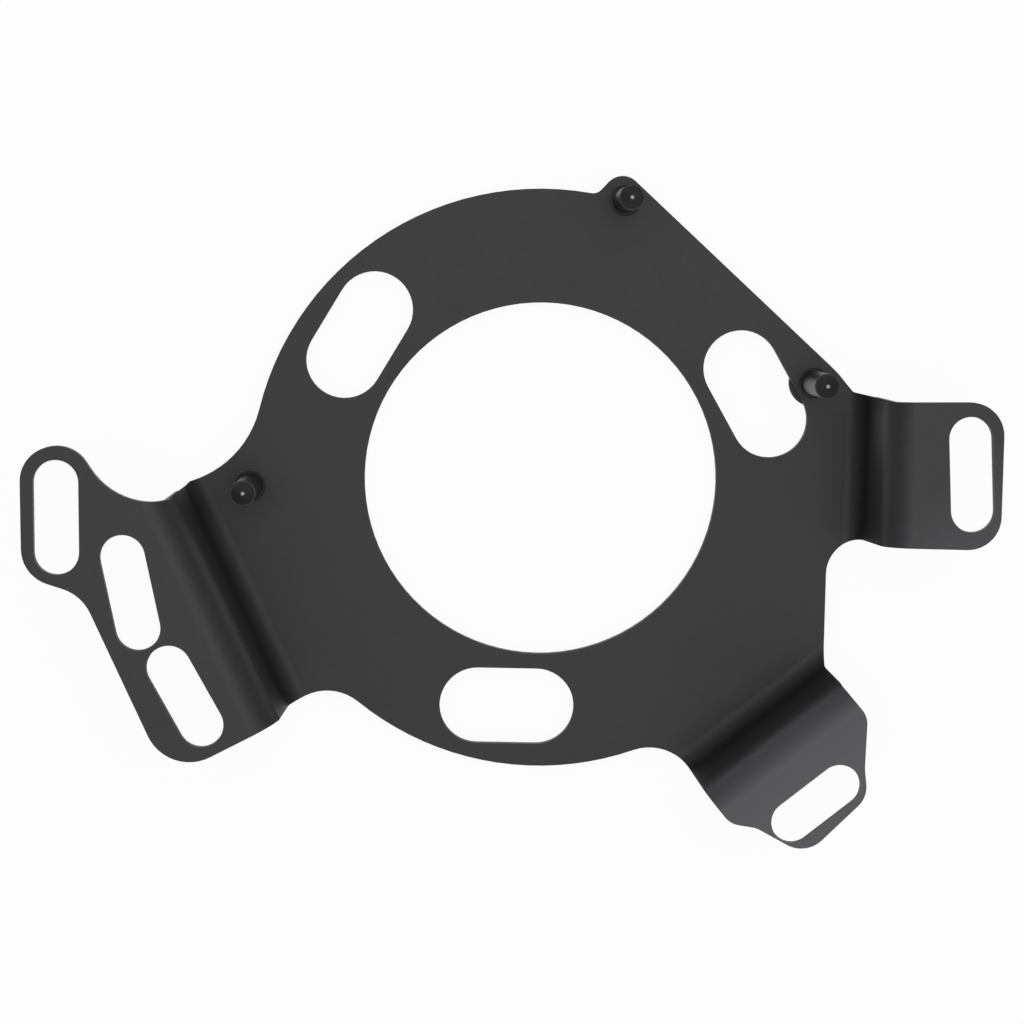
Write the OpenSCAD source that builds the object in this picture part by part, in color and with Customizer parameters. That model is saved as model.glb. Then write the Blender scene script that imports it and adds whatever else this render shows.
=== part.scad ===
// Pulley mounting bracket
// A ring of sheet steel with three wings folded up from it and three locating pins pressed into it.
// The origin is the centre of the large hole at the plate's front face, with +Z towards the pins.
// Each wing has its own axis, the line from the hole's centre square to the wing's bend.
// A place on a wing is [out, along]: out from the wall's front face, and along the bend.

/* [Sheet] */
// Thickness of the sheet
sheet_t = 3; // [2:0.5:4]
// Inside radius of every bend
bend_r = 5; // [3:0.5:7]
// Height of the wings' front faces above the plate's front face
wing_rise = 45; // [30:1:60]
// Distance from the ring's outer edge to the front face of each upright wall
wall_outset = 9; // [8.5:0.5:14]

/* [Ring] */
// Diameter of the large hole
hole_d = 92.5; // [80:0.5:98]
// Radius of the ring's outer edge
ring_r = 76; // [75:0.5:77]

/* [Ring slots] */
// Number of slots round the large hole
ring_slot_count = 3; // [2:1:3]
// Sheet left between the start of each slot and the ring's outer edge
ring_slot_rim = 5.8; // [5:0.1:7]
// Direction of the first slot's start, seen from the hole's centre
ring_slot_angle = 30.2; // [25:0.1:35]
// Width of each slot
ring_slot_w = 20; // [14:0.5:22]
// Distance between the centres of a slot's two round ends
ring_slot_travel = 15.4; // [10:0.2:18]

/* [Pins] */
// Distance from the ring's outer edge out to the pins' axes
pin_outset = 0.2; // [-0.4:0.1:0.6]
// Directions of the upper, right and left pins, seen from the hole's centre
pin_angles = [74.5, 20.7, 182.8];
// Diameter of the pins' shafts
pin_d = 6.5; // [5:0.1:7]
// Height of the shafts above the plate's front face
pin_h = 31; // [15:1:40]
// Height of the blunt cone on each pin
pin_cone_h = 1.3; // [1:0.1:3]
// Diameter of the holes that the pins are pressed into
pin_hole_d = 8; // [7.4:0.1:8.4]
// Diameter of the relief at the foot of each shaft
pin_neck_d = 6; // [4.6:0.1:6.2]
// Height of the reliefs above the plate's front face
pin_neck_h = 0.2; // [0.1:0.1:0.5]
// Depth of the dark groove between a shaft and its hole
pin_groove_depth = 2; // [0.4:0.1:2.2]
// Diameters of the upper, right and left pins' heads behind the plate
pin_head_ds = [10.4, 12.6, 12.6];
// Thickness of the heads
pin_head_t = 2; // [1:0.2:3]
// Radius of the heads' rear edges
pin_head_edge_r = 0.5; // [0.2:0.1:0.8]

/* [Upper edge] */
// Corner of the upper boss: distance beyond the ring's edge, and direction from the hole's centre
boss_corner = [8.1, 76.8];
// Radius of the upper boss
boss_r = 5; // [4:0.1:6]
// Slope of the short edge that climbs to the boss
boss_slope = 47.8; // [46:0.1:50]
// Radius of the hollow between the ring and the boss
boss_hollow_r = 3.1; // [2:0.1:5]
// Corner beside the right pin: distance beyond the ring's edge, and direction from the hole's centre
shoulder_corner = [6.9, 21.2];
// Radius of that corner
shoulder_r = 30; // [20:1:35]

/* [Right wing] */
// Direction of the right wing's axis
right_angle = 0; // [-1:0.5:1]
// Reach of the right wing beyond its wall
right_reach = 29.4; // [28:0.2:34]
// Upper edge of the right wing at its wall and at its outer end, along the bend
right_upper = [23.7, 24.4];
// Lower edge of the right wing, along the bend
right_lower = -12.8; // [-14:0.1:-12]
// Radius of the right wing's two outer corners
right_corner_r = 8.4; // [5:0.2:10]
// Radius of the hollow above the right wing
right_upper_hollow_r = 1.5; // [1:0.1:2.5]
// Radius of the hollow below the right wing
right_lower_hollow_r = 9.4; // [8:0.2:12]
// Centre of the right slot
right_slot_at = [21.6, 6.1];
// Direction of the right slot, from the wing's axis
right_slot_angle = 93.2; // [85:0.1:95]
// Distance between the centres of the right slot's round ends
right_slot_travel = 18; // [12:0.5:18.5]
// Width of the right slot
right_slot_w = 11; // [9:0.1:11.5]

/* [Lower wing] */
// Direction of the lower wing's axis
lower_angle = -51; // [-52:0.5:-50.5]
// Corners of the lower wing: out, along and radius
lower_corners = [
    [9.8, 29.2, 5.5],
    [19.9, 20.6, 13],
    [26, 16.8, 6.6],
    [28.2, -4.4, 7.5],
    [15, -10.1, 6],
    [10.2, -14.6, 5.8]
];
// Right edge of the lower wing at its wall
lower_right_edge = 28.9; // [28.5:0.1:29.1]
// Left edge of the lower wing at its wall
lower_left_edge = -14.9; // [-15.1:0.1:-14.7]
// Centre of the lower slot
lower_slot_at = [19.4, 5.5];
// Distance between the centres of the lower slot's round ends
lower_slot_travel = 15; // [10:0.5:15.5]
// Width of the lower slot
lower_slot_w = 10.6; // [8:0.1:11]
// Radius of the hollow between the ring and the lower wing
lower_hollow_r = 13.1; // [12:0.1:14]

/* [Left wing] */
// Direction of the left wing's axis
left_angle = 206; // [205.5:0.5:206.5]
// Corners of the left wing and its tab: out, along and radius
left_corners = [
    [30.9, 26.5, 11.4],
    [30.9, -24.1, 11.3],
    [42.4, -34.7, 9.2],
    [30.2, -62, 8.7],
    [16.9, -60.3, 8.7],
    [13.7, -37.6, 18.1]
];
// Lower edge of the left wing at its wall
left_lower_edge = 25.3; // [24.5:0.1:25.5]
// Upper edge of the left wing at its wall
left_upper_edge = -36.4; // [-37:0.1:-36.1]
// Radius of the hollow between the ring and the left wing's upper edge
left_web_r = 26.5; // [26:0.1:27.2]
// Direction of that hollow's centre, seen from the hole's centre
left_web_angle = 167.4; // [167.2:0.1:168]
// Radius of the hollow between the ring and the left wing's lower edge
left_hollow_r = 12.8; // [12:0.1:14]
// Centres of the three left slots, the tab's slot first
left_slots_at = [[28.5, -44.3], [19.8, -19.6], [18.4, 9.6]];
// Directions of the three left slots, from the wing's axis
left_slot_angles = [65.7, 77.3, 94.4];
// Distances between the centres of each left slot's round ends
left_slot_travels = [17.3, 18, 16.3];
// Width of the left slots
left_slot_w = 11.3; // [9:0.1:11.5]

/* [Bend shoulders] */
// Extra width of a wall at its foot: left wall's lower end, lower wall's left end, right wall's lower end
shoulders = [1.1, 0.7, 1.1];
// Directions of the same three ends across the sheet, from the wing's axis
shoulder_slants = [3, 1.6, 0];
// Extra width of the plate where it runs into the left wall's upper end
left_shoulder = 1.5; // [1.2:0.1:1.6]

/* [Hidden] */
$fn = 96;
// Radius that a rounding circle gains so that it crosses its neighbouring edges
bite = 0.002;
// Overlap of the flat plate with the flat foot of each bend
lap = 5;
// Distance that a cutting tool passes each face
over = 1;
wall_distance = ring_r + wall_outset;
bend_start = wall_distance - bend_r;
outer_r = bend_r + sheet_t;
// Distance from a wall's front face to just behind its rear face
wall_back = sheet_t + 0.1;
ring_slot_circle_r = ring_r - ring_slot_rim - ring_slot_w / 2;
pin_circle_r = ring_r + pin_outset;
pin_hole_r = pin_hole_d / 2;
// Length of each wing's flat before its outline is cut, and its extra width on both sides
sweep_l = left_corners[2][0];
sweep_margin = 12;
blank_size = 4 * ring_r;
steel = [0.24, 0.24, 0.25];
pin_black = [0.17, 0.17, 0.18];

// Point at a radius and a direction from the hole's centre
function polar(r, angle) = [r * cos(angle), r * sin(angle)];

// Point given by its distance beyond the ring's edge and its direction
function ring_corner(corner) = polar(ring_r + corner[0], corner[1]);

// Plate coordinates of a place on the wing whose axis has the given direction
function on_wing(angle, place) =
    polar(wall_distance + place[0], angle) + polar(place[1], angle + 90);

// A corner of a wing's outline in plate coordinates, with its radius kept
function wing_corner(angle, corner) =
    let (p = on_wing(angle, corner)) [p[0], p[1], corner[2]];

function unit(v) = v / norm(v);
function flat(p) = [p[0], p[1]];
function cross_z(a, b) = a[0] * b[1] - a[1] * b[0];

// Centre of a circle of radius r that touches the ring's outside and the straight edge through p.
// The circle lies to the left of the edge's direction, at the end of the edge where p is.
function ring_hollow(p, edge_angle, r) =
    let (
        across = p * polar(1, edge_angle + 90) + r,
        reach = sqrt(pow(ring_r + r, 2) - pow(across, 2))
    )
    polar(across, edge_angle + 90) + polar(sign(p * polar(1, edge_angle)) * reach, edge_angle);

// Corner data at index i: unit vectors to both neighbours, tangent length, circle centre and turn
function neighbour(list, i, step) = flat(list[(i + step + len(list)) % len(list)]);
function to_back(list, i) = unit(neighbour(list, i, -1) - flat(list[i]));
function to_next(list, i) = unit(neighbour(list, i, 1) - flat(list[i]));
function half_angle(list, i) = acos(to_back(list, i) * to_next(list, i)) / 2;
function tangent_l(list, i) = list[i][2] / tan(half_angle(list, i));
function round_centre(list, i) =
    flat(list[i]) + unit(to_back(list, i) + to_next(list, i)) * list[i][2] / sin(half_angle(list, i));
function turn(list, i) = cross_z(to_back(list, i), to_next(list, i));
function is_round(list, i) = len(list[i]) > 2;
function round_start(list, i) = flat(list[i]) + to_back(list, i) * tangent_l(list, i);
function round_end(list, i) = flat(list[i]) + to_next(list, i) * tangent_l(list, i);

// The part of a corner's rounding circle that lies between its two edges.
// It reaches a little past both tangent points, to where the circle crosses the edges.
module corner_circle(list, i) {
    c = round_centre(list, i);
    past = 2 * sqrt(2 * bite * list[i][2]);
    start = round_start(list, i) + to_back(list, i) * past;
    end = round_end(list, i) + to_next(list, i) * past;
    intersection() {
        polygon([for (p = [c, start, flat(list[i]), end]) c + (p - c) * 1.1]);
        translate(c)
            circle(list[i][2] + bite);
    }
}

// Polygon through corners given clockwise, where a third number rounds the corner to that radius
module rounded_outline(list) {
    last = len(list) - 1;
    difference() {
        union() {
            polygon([
                for (i = [0 : last])
                    each is_round(list, i)
                        ? [round_start(list, i), round_end(list, i)]
                        : [flat(list[i])]
            ]);
            for (i = [0 : last])
                if (is_round(list, i) && turn(list, i) > 0)
                    corner_circle(list, i);
        }
        for (i = [0 : last])
            if (is_round(list, i) && turn(list, i) < 0)
                corner_circle(list, i);
    }
}

// Sheet that fills a corner up to a hollow of radius r round c
module hollow(c, r, corners) {
    difference() {
        polygon(concat([c], corners));
        translate(c)
            circle(r + bite);
    }
}

// Round-ended slot shape
module slot(centre, angle, travel, width) {
    translate(centre)
        rotate(angle) {
            square([travel, width], center = true);
            for (side = [-1, 1])
                translate([side * travel / 2, 0])
                    circle(d = width);
        }
}

// Ring with its upper boss, right wing and lower wing, running clockwise from the hole's centre
module right_outline() {
    boss = ring_corner(boss_corner);
    shoulder = ring_corner(shoulder_corner);
    // Level where the ring's upright side edge meets the lower wing's right edge
    side_end = (lower_right_edge + ring_r * sin(lower_angle)) / cos(lower_angle);
    // Place where the edge beside the right pin meets the right wing's upper edge
    armpit = on_wing(right_angle, [-3.3, right_upper[0] + 1.1]);
    rounded_outline(concat(
        [
            [0, 0],
            boss - polar(15, boss_slope),
            concat(boss, [boss_r]),
            concat(shoulder, [shoulder_r]),
            concat(armpit, [right_upper_hollow_r])
        ],
        [
            on_wing(right_angle, [2.2, right_upper[0]]),
            wing_corner(right_angle, [right_reach, right_upper[1], right_corner_r]),
            wing_corner(right_angle, [right_reach, right_lower, right_corner_r]),
            [ring_r, right_lower],
            [ring_r, side_end, 2]
        ],
        [for (corner = lower_corners) wing_corner(lower_angle, corner)],
        [on_wing(lower_angle, [-25, lower_left_edge - 0.7])]
    ));
}

// Ring's disc, cut back behind the straight edge between the upper boss and the right pin
module ring_disc() {
    boss = ring_corner(boss_corner);
    shoulder = ring_corner(shoulder_corner);
    difference() {
        circle(ring_r);
        polygon([boss * 0.98, boss * 2, shoulder * 2, shoulder * 0.98]);
    }
}

// Hollow between the ring and the upper boss
module boss_hollow() {
    boss = ring_corner(boss_corner);
    c = ring_hollow(boss, boss_slope, boss_hollow_r);
    hollow(c, boss_hollow_r, [c - polar(boss_hollow_r, boss_slope + 90), [0, 0]]);
}

// Hollow between the ring's side edge and the right wing, running straight on past the foot of the wall
module right_hollow() {
    edge = right_lower - shoulders[2];
    c = [ring_r + right_lower_hollow_r, edge - right_lower_hollow_r];
    hollow(c, right_lower_hollow_r, [
        [ring_r - 5, c[1]],
        [ring_r - 5, 0],
        on_wing(right_angle, [wall_back, 0]),
        on_wing(right_angle, [wall_back, edge]),
        [c[0], edge]
    ]);
}

// Hollow between the ring and the lower wing, running straight on past the foot of the wall
module lower_hollow() {
    edge = lower_left_edge - shoulders[1];
    c = ring_hollow(on_wing(lower_angle, [0, edge]), lower_angle + 180, lower_hollow_r);
    hollow(c, lower_hollow_r, [
        [0, 0],
        on_wing(lower_angle, [wall_back, edge + 6]),
        on_wing(lower_angle, [wall_back, edge]),
        c - polar(lower_hollow_r, lower_angle - 90)
    ]);
}

// Left wing with its tab, running clockwise from the hole's centre
module left_outline() {
    rounded_outline(concat(
        [
            [0, 0],
            on_wing(left_angle, [-25, left_lower_edge - 6]),
            on_wing(left_angle, [-1.5, left_lower_edge])
        ],
        [for (corner = left_corners) wing_corner(left_angle, corner)],
        [
            on_wing(left_angle, [-1.5, left_upper_edge + 0.2]),
            on_wing(left_angle, [-25, left_upper_edge + 6])
        ]
    ));
}

// Hollows between the ring and the left wing. The upper one slants into the wall's own edge at the bend,
// and the lower one runs straight on past the foot of the wall.
module left_hollows() {
    upper_c = polar(ring_r + left_web_r, left_web_angle);
    hollow(upper_c, left_web_r, [
        [0, 0],
        on_wing(left_angle, [2.4, left_upper_edge + 6]),
        on_wing(left_angle, [2.4, left_upper_edge + 0.15]),
        on_wing(left_angle, [-1.4, left_upper_edge - left_shoulder])
    ]);
    lower_edge = left_lower_edge + shoulders[0];
    slope = (left_corners[0][1] - left_lower_edge) / left_corners[0][0];
    edge_angle = left_angle + atan(slope);
    lower_c = ring_hollow(on_wing(left_angle, [0, lower_edge]), edge_angle, left_hollow_r);
    hollow(lower_c, left_hollow_r, [
        [0, 0],
        on_wing(left_angle, [wall_back, lower_edge - 6]),
        on_wing(left_angle, [wall_back, lower_edge + slope * wall_back]),
        lower_c - polar(left_hollow_r, edge_angle + 90)
    ]);
}

// Upright block with the shape of the whole outline, passing both faces of the folded sheet.
// Beside three wall ends its hollows narrow as they rise.
module outline_block() {
    through()
        ring_disc();
    through()
        right_outline();
    through()
        boss_hollow();
    through()
        left_outline();
    difference() {
        through()
            right_hollow();
        end_taper(right_angle, right_lower, -shoulders[2], shoulder_slants[2]);
    }
    difference() {
        through()
            lower_hollow();
        end_taper(lower_angle, lower_left_edge, -shoulders[1], shoulder_slants[1]);
    }
    difference() {
        through()
            left_hollows();
        end_taper(left_angle, left_lower_edge, shoulders[0], shoulder_slants[0]);
    }
}

// Wedge that takes a wall's end from its wide foot back to the wing's own edge at the upper bend.
// The width is negative at an end that faces against the wing's second axis.
module end_taper(angle, edge, width, slant) {
    rise = wing_rise - outer_r - bend_r;
    rotate(angle)
        translate([wall_distance, edge, bend_r])
            rotate(slant)
                translate([-over, 0, 0])
                    rotate([90, 0, 90])
                        linear_extrude(wall_back + 2 * over)
                            polygon([[width, 0], [-width, 2 * rise], [3 * width, 2 * rise], [3 * width, 0]]);
}

// Extrudes an outline through the full height of the folded sheet
module through() {
    translate([0, 0, -sheet_t - over])
        linear_extrude(wing_rise + sheet_t + 2 * over)
            children();
}

// Every opening through the sheet, seen from the front
module openings() {
    circle(d = hole_d);
    for (i = [0 : ring_slot_count - 1]) {
        start = ring_slot_angle + i * 360 / ring_slot_count;
        centre = polar(ring_slot_circle_r, start) + polar(ring_slot_travel / 2, start - 90);
        slot(centre, start - 90, ring_slot_travel, ring_slot_w);
    }
    for (angle = pin_angles)
        translate(polar(pin_circle_r, angle))
            circle(pin_hole_r);
    wing_slot(right_angle, right_slot_at, right_slot_angle, right_slot_travel, right_slot_w);
    wing_slot(lower_angle, lower_slot_at, 90, lower_slot_travel, lower_slot_w);
    for (i = [0 : 2])
        wing_slot(left_angle, left_slots_at[i], left_slot_angles[i], left_slot_travels[i], left_slot_w);
}

module wing_slot(wing_angle, place, angle, travel, width) {
    slot(on_wing(wing_angle, place), wing_angle + angle, travel, width);
}

// Quarter of a bend in the sheet, curling about its own centre
module bend_quarter(c, start) {
    translate(c)
        rotate(start)
            intersection() {
                difference() {
                    circle(outer_r);
                    circle(bend_r);
                }
                square(outer_r + over);
            }
}

// Section through a wing: flat foot, lower bend, upright wall, upper bend and flat wing
module wing_section() {
    upper_c = [wall_distance + outer_r, wing_rise - outer_r];
    translate([bend_start - lap, -sheet_t])
        square([lap, sheet_t]);
    bend_quarter([bend_start, bend_r], -90);
    translate([wall_distance, bend_r])
        square([sheet_t, wing_rise - outer_r - bend_r]);
    bend_quarter(upper_c, 90);
    translate([upper_c[0], wing_rise - sheet_t])
        square([sweep_l, sheet_t]);
}

// A wing's section drawn out along its bend between two edges, with the margin beyond both
module wing_sweep(angle, from, to) {
    rotate([90, 0, angle])
        translate([0, 0, -to - sweep_margin])
            linear_extrude(to - from + 2 * sweep_margin)
                wing_section();
}

// Flat plate, stopping inside the flat foot of each bend
module flat_plate() {
    translate([0, 0, -sheet_t])
        linear_extrude(sheet_t)
            difference() {
                square(blank_size, center = true);
                for (angle = [right_angle, lower_angle, left_angle])
                    rotate(angle)
                        translate([bend_start - lap / 2, -blank_size])
                            square(2 * blank_size);
            }
}

// The sheet before its outline is cut: a plate with three folded wings
module folded_sheet() {
    flat_plate();
    wing_sweep(right_angle, right_lower, right_upper[1]);
    wing_sweep(lower_angle, lower_left_edge, lower_right_edge);
    wing_sweep(left_angle, left_corners[3][1], left_lower_edge);
}

module bracket_plate() {
    color(steel)
        difference() {
            intersection() {
                folded_sheet();
                outline_block();
            }
            through()
                openings();
        }
}

// Turned pin: rear head, body pressed into the plate, groove, relief, shaft and blunt cone
module pin(i) {
    shaft_r = pin_d / 2;
    neck_r = pin_neck_d / 2;
    head_r = pin_head_ds[i] / 2;
    rear = -sheet_t - pin_head_t;
    color(pin_black)
        translate(polar(pin_circle_r, pin_angles[i]))
            rotate_extrude() {
                translate([0, rear + pin_head_edge_r])
                    square([head_r, pin_head_t - pin_head_edge_r]);
                translate([0, rear])
                    square([head_r - pin_head_edge_r, pin_head_t]);
                intersection() {
                    translate([head_r - pin_head_edge_r, rear + pin_head_edge_r])
                        circle(pin_head_edge_r);
                    translate([0, rear])
                        square([head_r, pin_head_t]);
                }
                translate([0, -sheet_t])
                    square([pin_hole_r, sheet_t - pin_groove_depth]);
                polygon([
                    [0, -sheet_t],
                    [neck_r, -sheet_t],
                    [neck_r, pin_neck_h],
                    [shaft_r, pin_neck_h],
                    [shaft_r, pin_h],
                    [0.3, pin_h + pin_cone_h],
                    [0, pin_h + pin_cone_h]
                ]);
            }
}

module upper_pin() {
    pin(0);
}

module right_pin() {
    pin(1);
}

module left_pin() {
    pin(2);
}

bracket_plate();
upper_pin();
right_pin();
left_pin();
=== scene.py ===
import bpy
from mathutils import Matrix, Vector

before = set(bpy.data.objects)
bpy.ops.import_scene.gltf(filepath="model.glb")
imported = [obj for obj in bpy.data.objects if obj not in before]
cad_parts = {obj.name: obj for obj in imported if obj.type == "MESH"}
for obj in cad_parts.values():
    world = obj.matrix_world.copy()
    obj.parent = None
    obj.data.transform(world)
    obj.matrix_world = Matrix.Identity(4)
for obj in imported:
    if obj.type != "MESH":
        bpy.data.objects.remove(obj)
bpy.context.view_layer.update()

# The photograph's camera: place in millimetres, turn in radians, nearest and farthest sight in
# metres, focal length and optical centre in pixels
CAMERA_AT = (-25.03, 49.38, 858.47)
CAMERA_TURN = (-0.0619, -0.0319, 0.0256)
CAMERA_CLIP = (0.01, 50.0)
FOCAL_PX = 3272.0
CENTRE_PX = (554.57, 490.95)
IMAGE_PX = 1024
SENSOR_MM = 36.0
MM_PER_M = 1000.0

WHITE = (1.0, 1.0, 1.0)
# Floor under the pins' rear heads: height, size and colour
FLOOR_Z = -0.005
FLOOR_SIZE = 12.0
FLOOR_PAPER = (0.86, 0.86, 0.86)
# Share of the floor's white that no shadow darkens
FLOOR_GLOW = 0.93

# Noise patterns: scale, detail and roughness
CLOUDS = (28.0, 5.0, 0.6)
MOTTLE = (420.0, 3.0, 0.6)
LINES = (900.0, 3.0, 0.6)
GRAIN = (2600.0, 2.0, 0.5)
BLOTCH = (260.0, 4.0, 0.6)
RINGS = (3000.0, 2.0, 0.5)
PIN_GRAIN = (3500.0, 2.0, 0.5)
# Stretch of the sheet's rolling lines along y, and of the turning rings round a pin's axis
LINES_STRETCH = (1.0, 0.04, 1.0)
RINGS_STRETCH = (0.02, 0.02, 1.0)
# Noise values over which a pattern goes from its first value to its second
NOISE_BAND = (0.3, 0.7)
# Bumps: strength, and height in metres
MOTTLE_BUMP = (0.20, 0.00004)
LINES_BUMP = (0.10, 0.00002)
GRAIN_BUMP = (0.25, 0.00001)
RINGS_BUMP = (0.25, 0.00003)
PIN_GRAIN_BUMP = (0.20, 0.00001)

# Sheet coating: darkest and lightest clouds, gloss level and roughness range
COAT_DARK = (0.0135, 0.0134, 0.0144)
COAT_LIGHT = (0.0182, 0.0180, 0.0192)
COAT_SPECULAR = 0.28
COAT_ROUGH = (0.47, 0.54)
COAT_ROUGH_BAND = (0.25, 0.75)
# Speckles in the coating: colour, noise values over which they come in, and greatest share
SPECKLE = (0.0240, 0.0235, 0.0250)
SPECKLE_BAND = (0.35, 0.75)
SPECKLE_SHARE = 0.35
# Painted highlight on the raised wings: colour, heights over which it comes in, unevenness and
# share
WING_PAINTED_HIGHLIGHT = (0.100, 0.098, 0.110)
WING_Z = (0.030, 0.046)
WING_PATCHES = (0.80, 1.0)
WING_HIGHLIGHT_SHARE = 0.07
# The lower wing has more painted highlight: the wing's direction, the distances along it over
# which the share grows, and the share reached
LOWER_WING_DIRECTION = (0.629, -0.777, 0.0)
LOWER_WING_REACH = (0.060, 0.100)
LOWER_WING_HIGHLIGHT_SHARE = 0.80

# Pins: darkest and lightest blotches, gloss level and roughness range
PIN_DARK = (0.0085, 0.0083, 0.0086)
PIN_LIGHT = (0.0190, 0.0183, 0.0185)
PIN_SPECULAR = 0.2
PIN_ROUGH = (0.34, 0.46)
# Painted highlight on the edge of a pin's tip: colour, share, and the shares of the pin's height
# over which it comes in and goes out
PIN_RIM_HIGHLIGHT = (0.055, 0.054, 0.054)
PIN_RIM_HIGHLIGHT_SHARE = 0.8
PIN_RIM_HIGHLIGHT_START = (0.9600, 0.9645)
PIN_RIM_HIGHLIGHT_END = (0.9660, 0.9705)
# Painted highlight at a pin's apex: colour, and the shares of the pin's height over which it comes
# in
PIN_APEX_HIGHLIGHT = (0.34, 0.33, 0.32)
PIN_APEX = (0.9970, 0.9995)

# Sky: heights of its two ends, the horizon and straight up, and its strength there
SKY_ENDS = (0.0, 1.0)
SKY_STRENGTH = (0.15, 0.8)
# Softbox: place, size and power
SOFTBOX_AT = (0.1, 0.1, 1.5)
SOFTBOX_SIZE = 1.0
SOFTBOX_W = 9.5


class Tree:
    """A node tree with short calls for the nodes that the looks share."""

    def __init__(self, node_tree):
        self.nodes = node_tree.nodes
        self.links = node_tree.links

    def add(self, kind, inputs, **settings):
        """Adds a node and returns its outputs. An input takes a link, number, vector or colour."""
        node = self.nodes.new(kind)
        for setting, value in settings.items():
            setattr(node, setting, value)
        for key, value in inputs.items():
            socket = node.inputs[key]
            if isinstance(value, bpy.types.NodeSocket):
                self.links.new(value, socket)
            elif socket.type == "RGBA":
                socket.default_value = (*value, 1.0)
            else:
                socket.default_value = value
        return node.outputs

    def coords(self, space):
        return self.add("ShaderNodeTexCoord", {})[space]

    def height(self, coords):
        return self.add("ShaderNodeSeparateXYZ", {"Vector": coords})["Z"]

    def noise(self, coords, pattern, stretch=None):
        if stretch:
            coords = self.add("ShaderNodeMapping", {"Vector": coords, "Scale": stretch})["Vector"]
        scale, detail, roughness = pattern
        inputs = {"Vector": coords, "Scale": scale, "Detail": detail, "Roughness": roughness}
        return self.add("ShaderNodeTexNoise", inputs)["Fac"]

    def ramp(self, value, band, to=(0.0, 1.0)):
        """Takes the two ends of the band to the two ends of to, and holds them beyond."""
        inputs = dict(zip(("From Min", "From Max", "To Min", "To Max"), (*band, *to)))
        return self.add("ShaderNodeMapRange", {"Value": value, **inputs})["Result"]

    def math(self, operation, a, b):
        return self.add("ShaderNodeMath", {0: a, 1: b}, operation=operation)["Value"]

    def mix(self, factor, a, b):
        """Mixes two colours, whose sockets go by number as other sockets have the same names."""
        return self.add("ShaderNodeMix", {"Factor": factor, 6: a, 7: b}, data_type="RGBA")[2]

    def bumps(self, *layers):
        """Chains bump nodes, each layer being a height with its (strength, distance)."""
        normal = {}
        for height, (strength, distance) in layers:
            inputs = {"Height": height, "Strength": strength, "Distance": distance, **normal}
            normal = {"Normal": self.add("ShaderNodeBump", inputs)["Normal"]}
        return normal["Normal"]

    def principled(self, colour, roughness, specular, normal):
        inputs = {
            "Base Color": colour,
            "Roughness": roughness,
            "Specular IOR Level": specular,
            "Normal": normal,
        }
        return self.add("ShaderNodeBsdfPrincipled", inputs)["BSDF"]


def coated_sheet(tree):
    """Satin black coating on rolled steel: soft clouds, fine grain, faint rolling lines, painted
    wing highlight.
    """
    coords = tree.coords("Object")
    clouds = tree.noise(coords, CLOUDS)
    mottle = tree.noise(coords, MOTTLE)
    lines = tree.noise(coords, LINES, LINES_STRETCH)
    grain = tree.noise(coords, GRAIN)

    base = tree.mix(tree.ramp(clouds, NOISE_BAND), COAT_DARK, COAT_LIGHT)
    speckles = tree.ramp(mottle, SPECKLE_BAND, (0.0, SPECKLE_SHARE))
    speckled = tree.mix(speckles, base, SPECKLE)

    # Painted highlight on the wings: a wing is known by its height, and the lower wing also by its
    # direction from the origin
    raised = tree.ramp(tree.height(coords), WING_Z)
    along = tree.add(
        "ShaderNodeVectorMath", {0: coords, 1: LOWER_WING_DIRECTION}, operation="DOT_PRODUCT"
    )["Value"]
    share = tree.ramp(along, LOWER_WING_REACH, (WING_HIGHLIGHT_SHARE, LOWER_WING_HIGHLIGHT_SHARE))
    highlight_share = tree.math("MULTIPLY", share, tree.ramp(clouds, NOISE_BAND, WING_PATCHES))
    colour = tree.mix(tree.math("MULTIPLY", raised, highlight_share), speckled, WING_PAINTED_HIGHLIGHT)

    rough = tree.ramp(clouds, COAT_ROUGH_BAND, COAT_ROUGH)
    normal = tree.bumps((mottle, MOTTLE_BUMP), (lines, LINES_BUMP), (grain, GRAIN_BUMP))
    return tree.principled(colour, rough, COAT_SPECULAR, normal)


def turned_steel(tree):
    """Blackened turned steel: fine rings round the pin's axis, a harder shine, painted tip
    highlights.
    """
    coords = tree.coords("Object")
    blotch = tree.noise(coords, BLOTCH)
    rings = tree.noise(coords, RINGS, RINGS_STRETCH)
    grain = tree.noise(coords, PIN_GRAIN)
    base = tree.mix(tree.ramp(blotch, NOISE_BAND), PIN_DARK, PIN_LIGHT)

    # Painted highlights on the tip: a lighter ring at its edge and a bright spot at its apex
    height = tree.height(tree.coords("Generated"))
    start = tree.ramp(height, PIN_RIM_HIGHLIGHT_START, (0.0, PIN_RIM_HIGHLIGHT_SHARE))
    end = tree.ramp(height, PIN_RIM_HIGHLIGHT_END, (1.0, 0.0))
    with_rim_highlight = tree.mix(tree.math("MULTIPLY", start, end), base, PIN_RIM_HIGHLIGHT)
    colour = tree.mix(tree.ramp(height, PIN_APEX), with_rim_highlight, PIN_APEX_HIGHLIGHT)

    rough = tree.ramp(blotch, NOISE_BAND, PIN_ROUGH)
    normal = tree.bumps((rings, RINGS_BUMP), (grain, PIN_GRAIN_BUMP))
    return tree.principled(colour, rough, PIN_SPECULAR, normal)


def white_paper(tree):
    """Pale matt paper that stays white to the camera and in gloss, and still takes a shadow."""
    ray = tree.add("ShaderNodeLightPath", {})
    seen = tree.math("MAXIMUM", ray["Is Camera Ray"], ray["Is Glossy Ray"])
    paper = tree.add("ShaderNodeBsdfDiffuse", {"Color": FLOOR_PAPER})["BSDF"]
    glow = tree.add("ShaderNodeEmission", {"Color": WHITE, "Strength": 1.0})["Emission"]
    share = tree.math("MULTIPLY", seen, FLOOR_GLOW)
    return tree.add("ShaderNodeMixShader", {"Fac": share, 1: paper, 2: glow})["Shader"]


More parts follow.
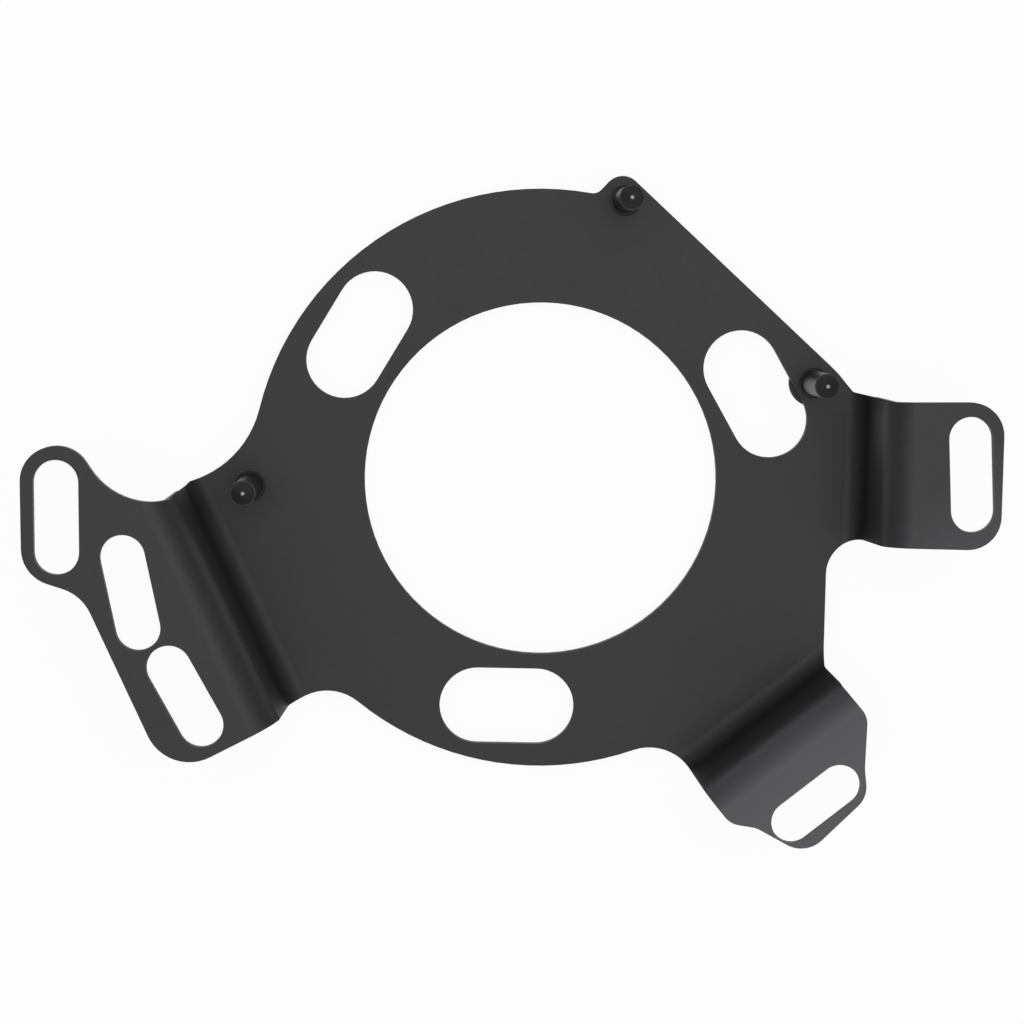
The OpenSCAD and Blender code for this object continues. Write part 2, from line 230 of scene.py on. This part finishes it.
def gradient_sky(tree):
    """White sky that darkens towards the horizon."""
    strength = tree.ramp(tree.height(tree.coords("Generated")), SKY_ENDS, SKY_STRENGTH)
    inputs = {"Color": WHITE, "Strength": strength}
    return tree.add("ShaderNodeBackground", inputs)["Background"]


def fill_nodes(owner, output, surface):
    """Gives a material or world a fresh node tree whose surface comes from the given function."""
    owner.use_nodes = True
    tree = Tree(owner.node_tree)
    tree.nodes.clear()
    tree.add(output, {"Surface": surface(tree)})
    return owner


def material(name, surface):
    return fill_nodes(bpy.data.materials.new(name), "ShaderNodeOutputMaterial", surface)


def put(name, data):
    """Makes an object from this data and adds it to the scene."""
    obj = bpy.data.objects.new(name, data)
    bpy.context.collection.objects.link(obj)
    return obj


# Looks of the CAD nodes
sheet_look = material("black_coated_sheet", coated_sheet)
pin_look = material("black_turned_pin", turned_steel)
for name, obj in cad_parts.items():
    obj.data.materials.clear()
    obj.data.materials.append(sheet_look if name == "bracket_plate" else pin_look)

# Floor
bpy.ops.mesh.primitive_plane_add(size=FLOOR_SIZE, location=(0.0, 0.0, FLOOR_Z))
floor = bpy.context.object
floor.name = "floor"
floor.data.materials.append(material("white_paper", white_paper))

# Camera
camera_data = bpy.data.cameras.new("camera")
camera_data.sensor_fit = "HORIZONTAL"
camera_data.sensor_width = SENSOR_MM
camera_data.lens = FOCAL_PX / IMAGE_PX * SENSOR_MM
camera_data.shift_x = (IMAGE_PX / 2 - CENTRE_PX[0]) / IMAGE_PX
camera_data.shift_y = (CENTRE_PX[1] - IMAGE_PX / 2) / IMAGE_PX
camera_data.clip_start, camera_data.clip_end = CAMERA_CLIP
camera = put("camera", camera_data)
turn_x, turn_y, turn_z = (Matrix.Rotation(turn, 4, axis) for turn, axis in zip(CAMERA_TURN, "XYZ"))
place = Matrix.Translation(Vector(CAMERA_AT) / MM_PER_M)
camera.matrix_world = place @ turn_z @ turn_y @ turn_x
bpy.context.scene.camera = camera

# Light: the sky, with a softbox almost overhead that points at the origin
world = bpy.data.worlds.new("studio")
bpy.context.scene.world = fill_nodes(world, "ShaderNodeOutputWorld", gradient_sky)
light = bpy.data.lights.new("softbox", "AREA")
light.shape = "SQUARE"
light.size = SOFTBOX_SIZE
light.energy = SOFTBOX_W
softbox = put("softbox", light)
softbox.location = SOFTBOX_AT
softbox.rotation_euler = (-Vector(SOFTBOX_AT)).to_track_quat("-Z", "Y").to_euler()

bpy.context.scene.view_settings.view_transform = "Standard"
